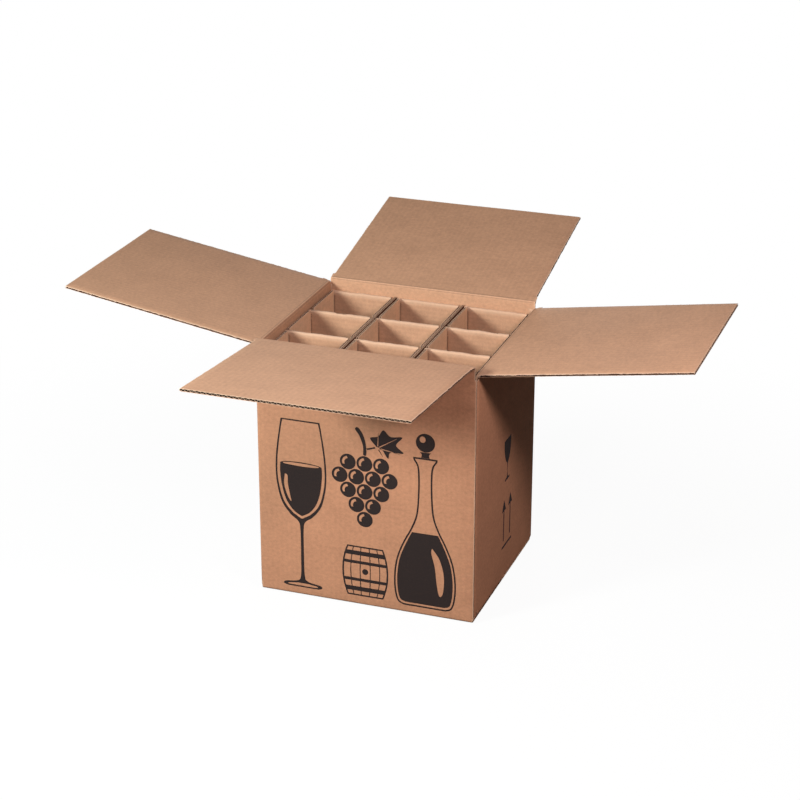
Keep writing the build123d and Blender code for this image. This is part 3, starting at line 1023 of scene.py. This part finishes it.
def add_divider(insert, index, left, fold):
    """A double divider: up one layer, over the soft top and down the other."""
    middle = DIVIDER / 2 + fold * (CELL_DEPTH + DIVIDER)
    shift = 300.0 + 10 * index + 2 * fold
    over = DIVIDER / 2
    arc = math.pi * over
    length = INSERT_WIDTH - INSERT_BOARD - FREE_END
    rise = INSERT_HEIGHT - over
    total = 2 * rise + arc
    corner = CELL_INSET[max(0, fold - 1)] + INSERT_BOARD

    def place(u, v, z):
        """u goes up the front layer, over the top and down the back one, v along the divider."""
        soft = noise.noise(Vector((v * 0.05, shift, 1.0))) * 0.7
        soft += noise.noise(Vector((v * 0.22, shift, 5.0))) * 0.5
        wander = noise.noise(Vector((v * 0.02, shift, 8.0))) * 0.6
        if u < rise:
            depth, height = -over - z, u
        elif u > rise + arc:
            depth, height = over + z, total - u
        else:
            turn = (u - rise) / over
            depth, height = -(over + z) * math.cos(turn), rise + (over + z) * math.sin(turn) * TOP_SQUASH
        near_top = max(0.0, 1 - (INSERT_HEIGHT - height) / SOFT_TOP)
        depth = depth * (1 + 0.10 * soft * near_top) + wander * near_top
        height += (TOP_SAG * soft - TOP_SAG) * near_top ** 2
        return left + v, INSERT_FRONT + middle + depth, CARTON_FLOOR + height

    def corner_shade_and_paler_top(u, v):
        """Paler along the fold's top, and painted shade in the corner with the cell's side."""
        if u < rise - 3:
            return -CORNER_PAINTED_SHADE * max(0.0, 1 - abs(v - corner - 0.5) / 1.8)
        return TOP_PALENESS * max(0.0, 1 - abs(u - total / 2) / arc)

    def ends(u):
        past = max(0.0, 1 - abs(u - total / 2) / (arc / 2 + notch_drop))
        return 0.3, length - 0.3 - notch_run * past

    notch_run, notch_drop = NOTCH
    corners = [(0, 0), (total, 0), (total, length), (rise + arc + notch_drop, length),
               (rise + arc / 2, length - notch_run), (rise - notch_drop, length), (0, length)]
    columns = [rise + arc * i / 10 for i in range(11)]
    columns += [rise + beyond for beyond in (-2, -5, -9, -14, -20)]
    columns += [rise + arc + beyond for beyond in (2, 5, 9, 14, 20)]
    lattice = [(u, v) for u in columns for v in [3 + (length - 9) * i / 26 for i in range(27)]]
    rows = (60, 120, 180, 240, 290)
    lattice += [(abs(back - u), v) for back in (0, total) for u in rows for v in (20, 50, 75)]
    levels = [rise - 3.5 * k for k in range(1, 13)] + [240, 180, 120, 60]
    lattice += [(u, corner + beside) for u in levels for beside in (-0.8, 0.7, 2.4)]
    teeth = [BLADE_CUT, FREE_CUT, BLADE_CUT, BLADE_CUT, BLADE_CUT, BLADE_CUT, FREE_CUT]
    for low, high, kind in insert_layers:
        rim, inside = cut_outline(corners, teeth, shift + kind, INSERT_CUT_STEP)
        flat_paper(insert, rim, inside + lattice, low, high, place, kind, shift + kind, spot_paleness_and_shade=corner_shade_and_paler_top)
    waved_paper(insert, insert_board, 0.5, total - 0.5, ends, place, shift, [30, 60], 6)


for index, name in enumerate(("left", "middle", "right")):
    insert = Papers()
    left = BOARD + SIDE_SLACK - WIDTH / 2 + index * (INSERT_WIDTH + COLUMN_GAP)
    add_right_side(insert, index, left)
    for cell in range(len(CELL_INSET)):
        add_cell(insert, index, left, cell)
    for fold in range(len(CELL_INSET) + 1):
        add_divider(insert, index, left, fold)
    bottle_insert = make_piece(name + "_bottle_insert", insert, insert_paints)
    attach(bottle_insert, "carton")
    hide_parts(f"bottle_insert_{index + 1}")

# Floor, lights and camera
# The box stands on a plain pale floor in front of white. Four soft lamps light
# it: a small one above the front, the main one at the front left, one at the
# front right and one behind.
FLOOR_GREY = (0.12, 0.12, 0.12, 1)
FLOOR_SEEN = (0.95, 0.95, 0.95, 1)
ROOM_TINT = (1.0, 0.56, 0.54, 1)
WHITE = (1, 1, 1, 1)
bpy.ops.mesh.primitive_plane_add(size=14, location=(0, 0, -0.0006))
floor = bpy.context.object
floor.name = "studio_floor"
floor_paint = bpy.data.materials.new("studio_floor")
floor_paint.use_nodes = True
tree = floor_paint.node_tree
tree.nodes.clear()
seen = add_node(tree, "ShaderNodeLightPath")
pale = add_node(tree, "ShaderNodeMix", [(0, seen.outputs["Is Camera Ray"]), (6, FLOOR_GREY), (7, FLOOR_SEEN)],
                data_type="RGBA")
matte = add_node(tree, "ShaderNodeBsdfDiffuse", [("Color", pale.outputs[2])])
glow = add_node(tree, "ShaderNodeEmission", [("Color", WHITE), ("Strength", 1.0)])
spot = add_node(tree, "ShaderNodeNewGeometry").outputs["Position"]
away = add_node(tree, "ShaderNodeVectorMath", [(0, spot)], operation="LENGTH").outputs["Value"]
far = add_node(tree, "ShaderNodeMapRange",
               [("Value", away), ("From Min", 0.35), ("From Max", 1.1), ("To Min", 0.95), ("To Max", 1.0)],
               interpolation_type="SMOOTHSTEP")
share = reckon(tree, "MULTIPLY", seen.outputs["Is Camera Ray"], far.outputs[0])
mixed = add_node(tree, "ShaderNodeMixShader", [(0, share), (1, matte.outputs[0]), (2, glow.outputs[0])])
add_node(tree, "ShaderNodeOutputMaterial", [("Surface", mixed.outputs[0])])
floor.data.materials.append(floor_paint)
floor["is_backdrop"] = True

world = bpy.data.worlds.new("studio")
bpy.context.scene.world = world
world.use_nodes = True
tree = world.node_tree
tree.nodes.clear()
seen = add_node(tree, "ShaderNodeLightPath")
room = add_node(tree, "ShaderNodeBackground", [("Color", ROOM_TINT), ("Strength", 0.02)])
white = add_node(tree, "ShaderNodeBackground", [("Color", WHITE), ("Strength", 1.0)])
shown = reckon(tree, "MAXIMUM", seen.outputs["Is Camera Ray"],
               reckon(tree, "MAXIMUM", seen.outputs["Is Glossy Ray"], seen.outputs["Is Transmission Ray"]))
mixed = add_node(tree, "ShaderNodeMixShader", [(0, shown), (1, room.outputs[0]), (2, white.outputs[0])])
add_node(tree, "ShaderNodeOutputWorld", [("Surface", mixed.outputs[0])])

for name, place, aim, size, power, tint in (
        ("top_lamp", (0.02, -0.7, 1.24), (0.05, -0.1, 0.37), 0.4, 2.9, (0.85, 0.95, 1.13)),
        ("left_lamp", (-0.79, -1.22, 0.87), (0, -0.14, 0.2), 0.35, 24.5, (1.03, 1.09, 1.06)),
        ("right_lamp", (0.89, -0.70, 1.1), (0.1, 0, 0.25), 0.25, 9.4, (1.03, 0.875, 0.85)),
        ("back_lamp", (-0.5, 1.7, 0.42), (0, 0.14, 0.2), 0.5, 12.0, (0.95, 1.05, 1.05))):
    lamp = bpy.data.lights.new(name, "AREA")
    lamp.shape, lamp.size, lamp.energy, lamp.color = "DISK", size, power, tint
    stand = bpy.data.objects.new(name, lamp)
    stand.location = place
    stand.rotation_euler = (Vector(place) - Vector(aim)).to_track_quat("Z", "Y").to_euler()
    stand.visible_camera = False
    bpy.context.scene.collection.objects.link(stand)

camera = bpy.data.objects.new("camera", bpy.data.cameras.new("camera"))
camera.data.lens = 97.8
camera.data.sensor_width = 36.0
camera.location = (0.9368, -2.6106, 1.4141)
camera.rotation_euler = (math.radians(90 - 22.73), 0, math.radians(19.72))
camera.data.clip_start, camera.data.clip_end = 0.05, 60
bpy.context.scene.collection.objects.link(camera)
bpy.context.scene.camera = camera
bpy.context.scene.view_settings.view_transform = "Standard"

low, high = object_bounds()
{"cad": [list(cad_low), list(cad_high)], "visual": [list(low), list(high)]}
